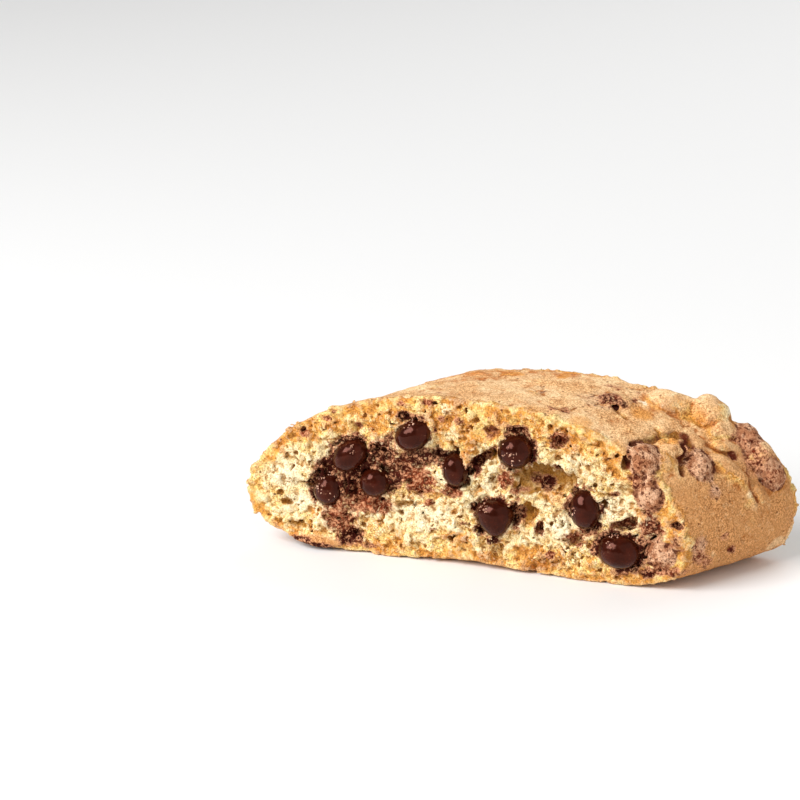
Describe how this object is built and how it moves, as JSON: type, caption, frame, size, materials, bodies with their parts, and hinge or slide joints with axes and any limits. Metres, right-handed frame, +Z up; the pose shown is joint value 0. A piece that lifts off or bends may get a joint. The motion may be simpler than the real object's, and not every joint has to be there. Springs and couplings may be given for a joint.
{
  "type": "biscotti slice",
  "caption": "Slant-cut slice of a baked half-round biscotti loaf: smooth tan crust, torn pale crumb on both cuts, and chocolate chips held in the crumb and pushing through the crust.",
  "frame": {"origin": "middle of the slice's bounding box, at the height of the flat baked base", "axes": "+X along the slice, +Y from the front cut through to the back cut, +Z up"},
  "size_m": [0.0894, 0.026, 0.0289],
  "materials": {
    "dough": "baked dough: matt tan crust, pale yellow open crumb on the cuts, browned base",
    "chocolate": "dark chocolate with a soft satin gloss, dusty where crumb clings"
  },
  "bodies": {
    "root": {"dough": "dough", "chip_front_1": "chocolate", "chip_front_2": "chocolate", "chip_front_3": "chocolate", "chip_front_4": "chocolate", "chip_front_5": "chocolate", "chip_front_6": "chocolate", "chip_front_7": "chocolate", "chip_front_8": "chocolate", "chip_front_9": "chocolate", "chip_front_10": "chocolate", "chip_front_11": "chocolate", "chip_back_1": "chocolate", "chip_back_2": "chocolate", "chip_back_3": "chocolate", "chip_back_4": "chocolate", "chip_back_5": "chocolate", "chip_back_6": "chocolate", "chip_back_7": "chocolate", "chip_back_8": "chocolate", "chip_crust_1": "chocolate", "chip_crust_2": "chocolate", "chip_crust_3": "chocolate", "chip_crust_4": "chocolate", "chip_crust_5": "chocolate", "chip_crust_6": "chocolate", "chip_crust_7": "chocolate"}
  },
  "joints": []
}
